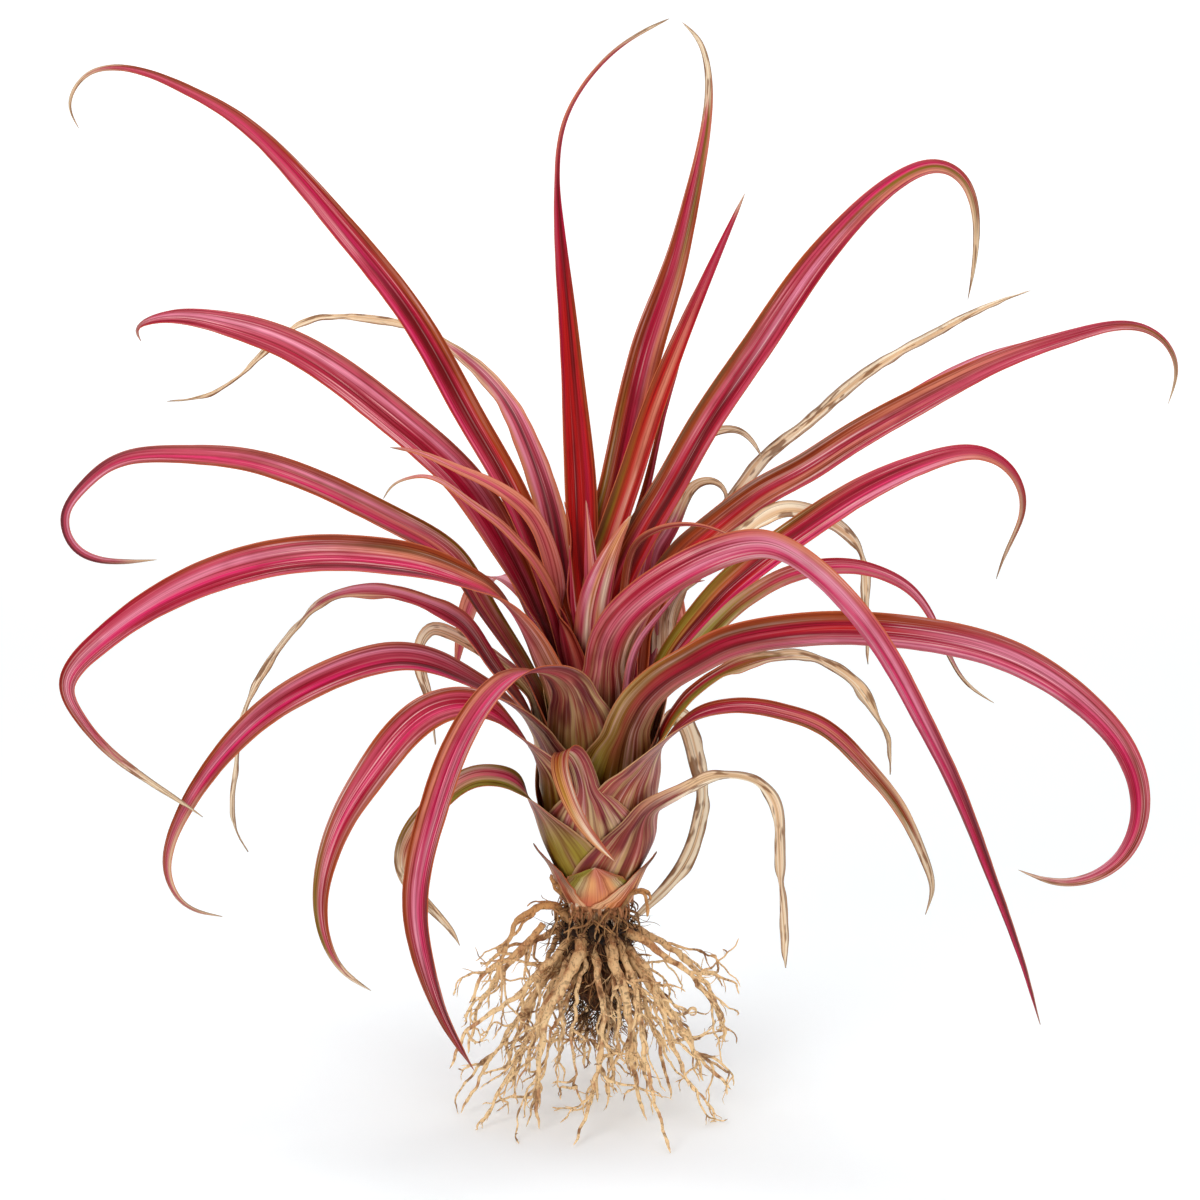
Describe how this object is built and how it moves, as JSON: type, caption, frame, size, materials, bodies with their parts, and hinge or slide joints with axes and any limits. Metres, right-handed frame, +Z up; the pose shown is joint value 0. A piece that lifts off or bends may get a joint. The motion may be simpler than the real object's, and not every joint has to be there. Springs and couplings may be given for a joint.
{
  "type": "ornamental pineapple plant",
  "caption": "Bare-root bromeliad: a vase of overlapping leaf sheaths on a short stem, long arching crimson and pink strap leaves, dry tan leaves, and a spread root mass.",
  "frame": {"origin": "on the ground under the stem, at the centre of the flat cut foot of the central root", "axes": "+Z up along the stem, +X to the right of the plant as pictured, +Y away from the viewer; the foot faces -Z"},
  "size_m": [0.6361, 0.3954, 0.606],
  "materials": {
    "bark": "matt stem, brown",
    "crimson": "satin leaf, deep crimson with olive-brown margins and paler streaks",
    "mauve": "satin sheath, mauve with pale green stripes",
    "olive": "satin leaf, olive green to brown with a pink middle",
    "pink": "satin leaf, hot pink with olive-brown margins and crimson streaks",
    "root": "matt woody root, tan with darker knots",
    "salmon": "soft satin leaf or scale, salmon to brown",
    "scarlet": "satin leaf, bright red with brown edge stripes",
    "tan": "matt dry leaf, tan with brown spots"
  },
  "bodies": {
    "root": {"stem": "bark", "root_mass": "root", "leaf_heart_spear_back": "scarlet", "leaf_heart_spear_right": "scarlet", "leaf_heart_spear_left": "scarlet", "leaf_crest_left": "scarlet", "leaf_centre_spear": "scarlet", "leaf_crest_right": "crimson", "leaf_heart_peach": "salmon", "leaf_heart_curl": "salmon", "leaf_salmon_upper": "salmon", "leaf_right_crest": "crimson", "leaf_salmon_lower": "salmon", "leaf_left_crest": "crimson", "leaf_back_upright": "crimson", "leaf_left_second": "crimson", "leaf_olive_front": "olive", "leaf_back_short": "olive", "leaf_back_left_bow": "pink", "leaf_back_bow": "salmon", "leaf_far_right_upper": "crimson", "leaf_far_left_upper": "crimson", "leaf_right_second": "crimson", "leaf_front_right": "pink", "leaf_left_fourth": "pink", "leaf_back_centre": "crimson", "leaf_right_third": "crimson", "leaf_mauve_narrow": "mauve", "leaf_left_third": "pink", "leaf_back_right": "crimson", "leaf_back_left": "crimson", "leaf_back_curl": "salmon", "leaf_far_left_lower": "pink", "leaf_far_right_lower": "crimson", "leaf_dry_right_bow": "tan", "leaf_dry_straight": "tan", "leaf_front_left": "pink", "leaf_olive_arch": "olive", "leaf_right_arch": "crimson", "leaf_left_fifth": "pink", "leaf_left_sixth": "pink", "leaf_dry_left_curl": "tan", "leaf_gold_arch": "olive", "leaf_dry_right_loop": "tan", "leaf_left_seventh": "pink", "leaf_right_mid_arch": "olive", "leaf_front_fold": "salmon", "leaf_back_right_low": "olive", "leaf_back_left_low": "olive", "leaf_dry_back": "tan", "leaf_left_lowest": "olive", "leaf_dry_right_lowest": "tan", "basal_scale_front": "salmon", "basal_scale_left": "salmon", "basal_scale_right": "salmon", "basal_scale_back_right": "salmon", "basal_scale_back_left": "salmon"}
  },
  "joints": []
}
